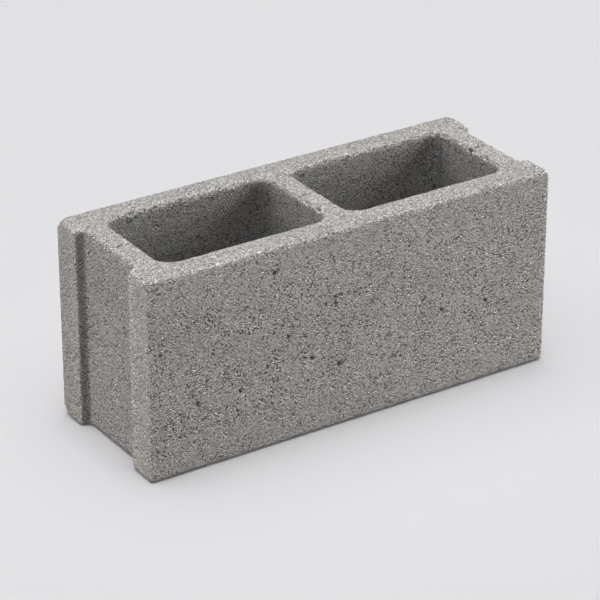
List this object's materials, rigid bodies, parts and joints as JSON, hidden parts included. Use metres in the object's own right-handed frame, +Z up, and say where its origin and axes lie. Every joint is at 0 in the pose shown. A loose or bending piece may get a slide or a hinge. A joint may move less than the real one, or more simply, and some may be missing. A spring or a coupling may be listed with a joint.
{
  "type": "concrete block",
  "caption": "Hollow concrete masonry block with rounded rectangular through cores and a shallow mortar recess down each end, laid in mortar to build walls.",
  "frame": {"origin": "centre of the bottom bed, on the floor the block stands on", "axes": "+X along the block's length, +Y across its width from one face shell to the other, +Z up along the cores"},
  "size_m": [0.397, 0.146, 0.181],
  "materials": {
    "concrete": "matt, open-textured cast concrete, mid grey with fine pits and aggregate grains"
  },
  "bodies": {
    "root": {"concrete_block": "concrete"}
  },
  "joints": []
}
